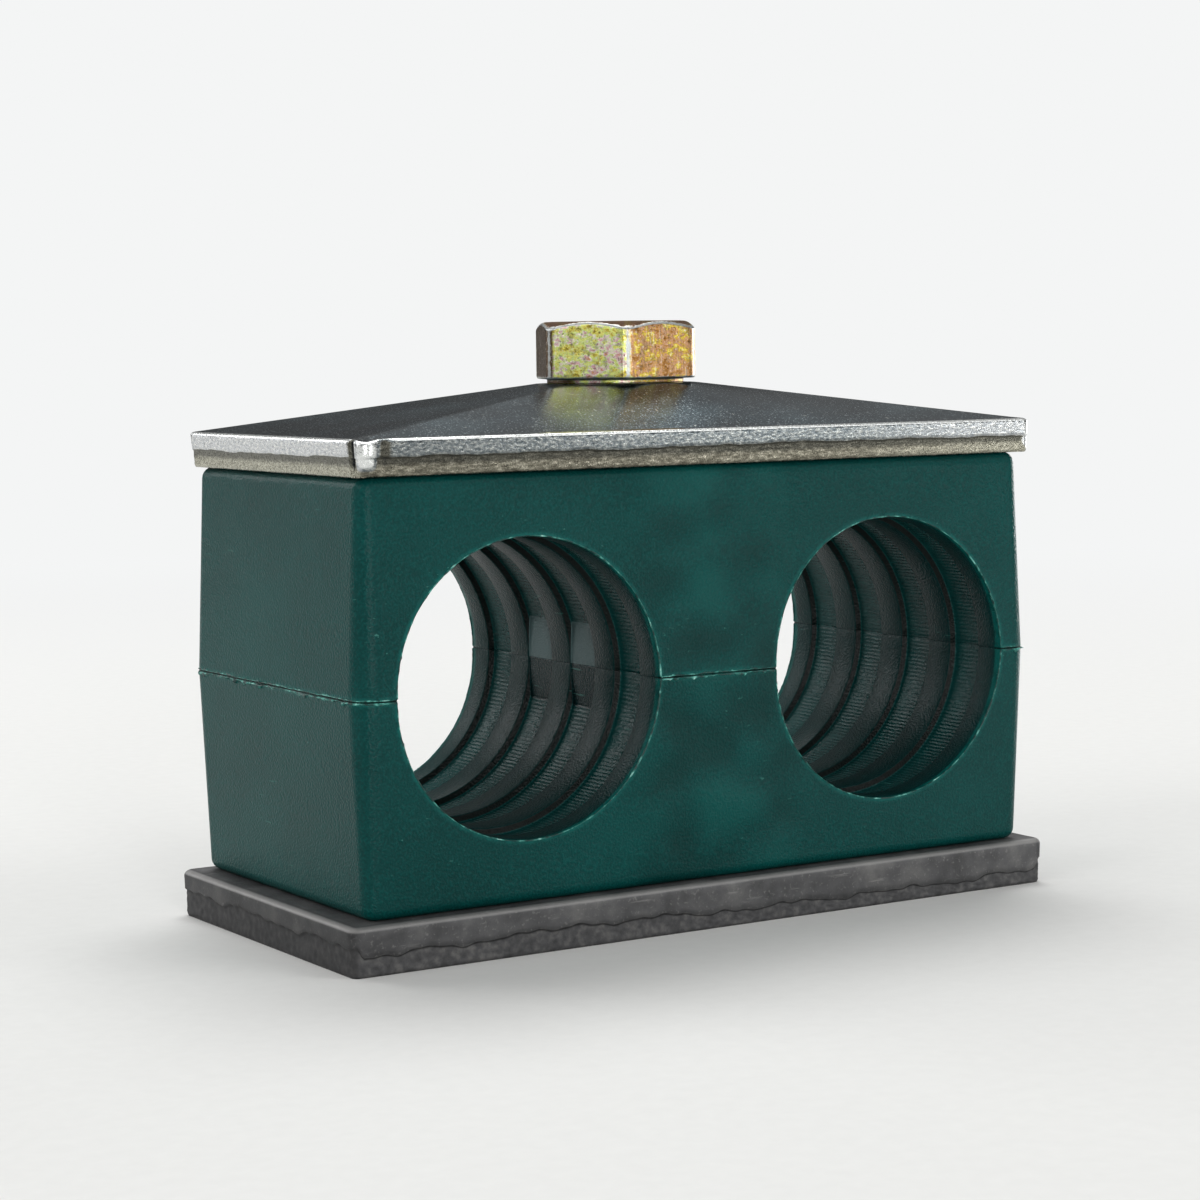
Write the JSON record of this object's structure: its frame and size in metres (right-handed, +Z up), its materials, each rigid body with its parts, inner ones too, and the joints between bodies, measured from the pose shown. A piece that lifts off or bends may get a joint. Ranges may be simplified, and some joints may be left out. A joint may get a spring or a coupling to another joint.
{
  "type": "twin hydraulic tube clamp",
  "caption": "Plastic clamp block for parallel hydraulic tubes, held down on a weld plate by a central hexagon bolt and a dished cover plate.",
  "frame": {"origin": "centre of the weld plate's underside, below the bolt", "axes": "+X along the row of tube bores, +Y along the tubes, +Z up along the bolt"},
  "size_m": [0.0696, 0.032, 0.0505],
  "materials": {
    "green_polypropylene": "satin",
    "clear_zinc_plate": "satin",
    "yellow_zinc_plate": "satin",
    "bare_steel": "matte"
  },
  "bodies": {
    "base": {"weld_plate": "bare_steel", "weld_nut": "bare_steel", "lower_clamp_half": "green_polypropylene"},
    "upper_half": {"upper_clamp_half": "green_polypropylene"},
    "cover": {"cover_plate": "clear_zinc_plate"},
    "bolt": {"hex_bolt": "yellow_zinc_plate"}
  },
  "joints": [
    {"name": "upper_half_lift", "type": "slide", "parent": "base", "child": "upper_half", "axis": [0, 0, 1], "range_m": [0, 0.00375]},
    {"name": "cover_lift", "type": "slide", "parent": "upper_half", "child": "cover", "axis": [0, 0, 1], "range_m": [0, 0.00375]},
    {"name": "bolt_turn", "type": "hinge", "parent": "cover", "child": "bolt", "pos_m": [0, 0, 0.0452], "axis": [0, 0, 1], "range_deg": [0, 2160]}
  ],
  "couplings": [
    {"joint": "bolt_turn", "follows": "upper_half_lift", "rad_per_m": 10053},
    {"joint": "cover_lift", "follows": "upper_half_lift", "ratio": 1}
  ]
}
